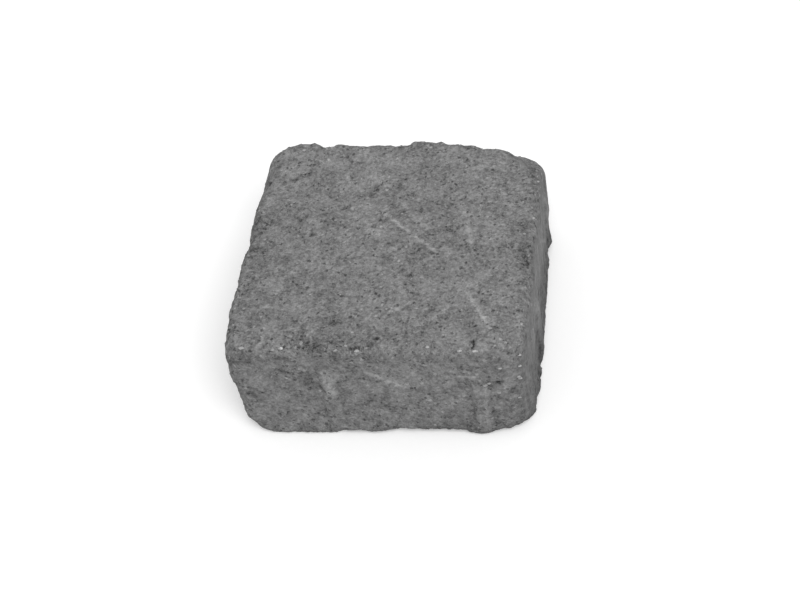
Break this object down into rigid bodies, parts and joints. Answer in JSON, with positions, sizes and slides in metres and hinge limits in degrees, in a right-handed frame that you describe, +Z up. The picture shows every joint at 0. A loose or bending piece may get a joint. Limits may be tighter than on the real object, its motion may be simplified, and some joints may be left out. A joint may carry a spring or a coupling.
{
  "type": "concrete paver",
  "caption": "Square pressed concrete paver with tumbled rims and corners and upright spacer ribs on its sides, for laying paths and yards.",
  "frame": {"origin": "on the bed face, under the middle of the block", "axes": "+Z up out of the wearing face, -Y out of the front side that the picture shows"},
  "size_m": [0.142, 0.142, 0.06],
  "materials": {
    "concrete": "rough, grey through-coloured pressed concrete with exposed sand and a few pale stones where it is worn"
  },
  "bodies": {
    "root": {"paver": "concrete"}
  },
  "joints": []
}
